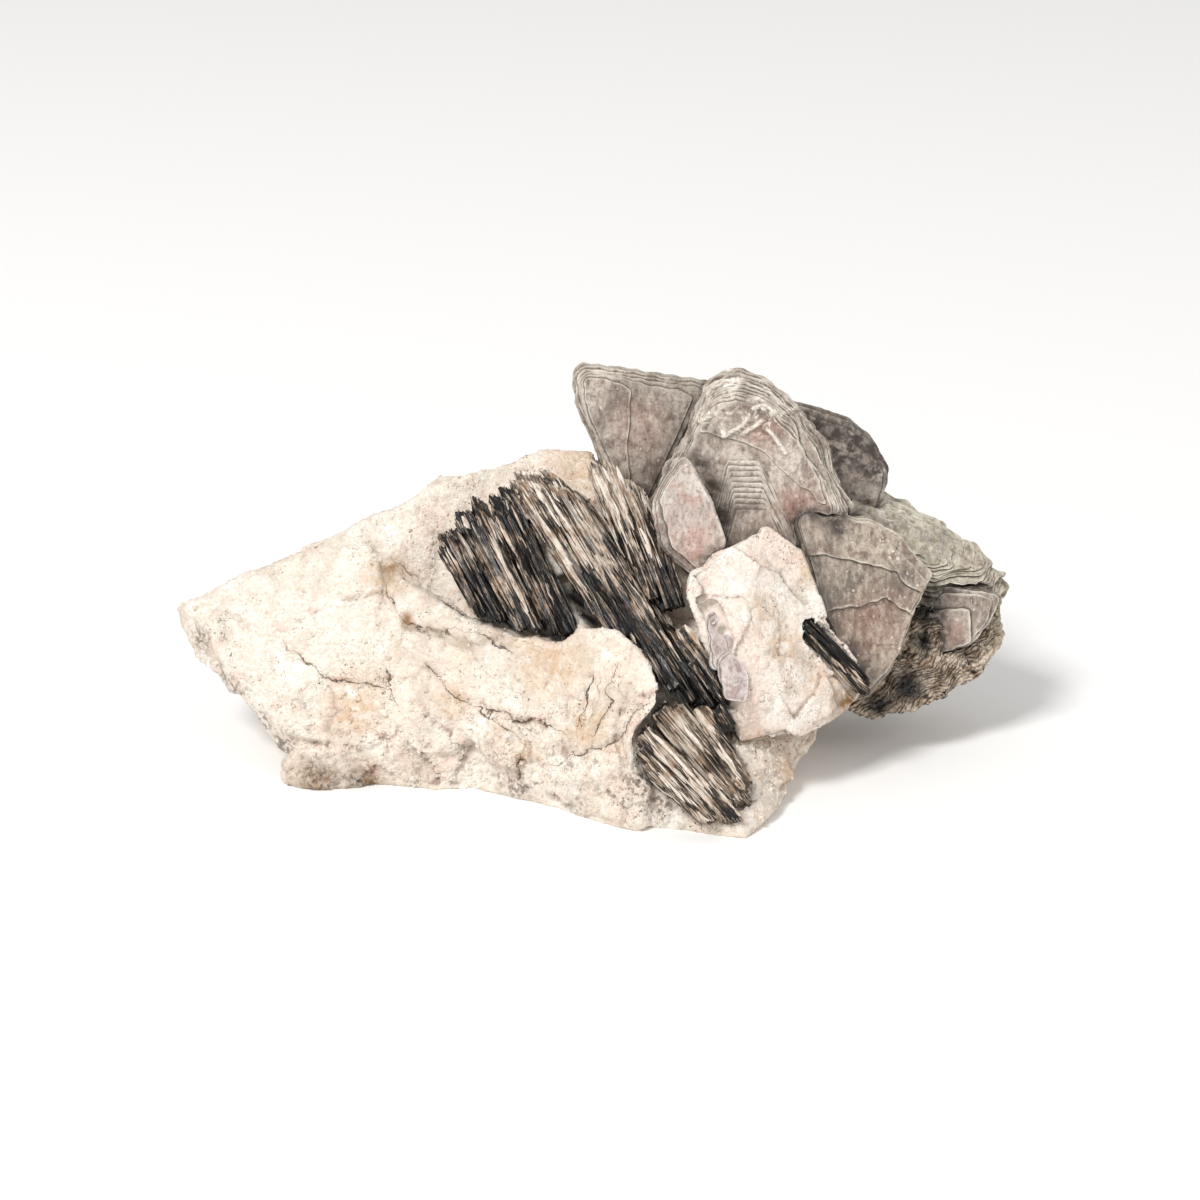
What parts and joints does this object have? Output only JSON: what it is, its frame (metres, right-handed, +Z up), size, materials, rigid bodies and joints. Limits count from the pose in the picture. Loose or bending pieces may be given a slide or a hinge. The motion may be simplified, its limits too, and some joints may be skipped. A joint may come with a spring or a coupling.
{
  "type": "mineral specimen",
  "caption": "White feldspar ground mass with a fan of dark tourmaline blades, a feldspar block and a group of grey mica books; it stands on a flat base.",
  "frame": {"origin": "middle of the specimen's bounding box, on the flat base", "axes": "+Z up, +X along the specimen from the pointed feldspar end to the mica end, crystals face -Y"},
  "size_m": [0.204, 0.0928, 0.093],
  "materials": {
    "feldspar": "broken white feldspar, dull with bright cleavage grains",
    "tourmaline": "near-black striated crystal with silvery streaks",
    "mica": "pearly pinkish-grey muscovite sheets",
    "green_mica": "pearly grey-green sheet edges",
    "dark_mica": "crumpled dark brown mica",
    "lilac_mica": "pearly lilac flakes"
  },
  "bodies": {
    "root": {"feldspar_matrix": "feldspar", "feldspar_block": "feldspar", "tourmaline_sheaf_left": "tourmaline", "tourmaline_sheaf_middle": "tourmaline", "tourmaline_sheaf_right": "tourmaline", "tourmaline_sheaf_lower": "tourmaline", "tourmaline_stubs": "tourmaline", "tourmaline_in_block": "tourmaline", "mica_book_centre": "mica", "mica_book_back": "mica", "mica_book_small": "mica", "mica_book_right": "mica", "mica_book_far_right": "mica", "mica_book_green": "green_mica", "mica_base": "dark_mica", "mica_flakes": "lilac_mica"}
  },
  "joints": []
}
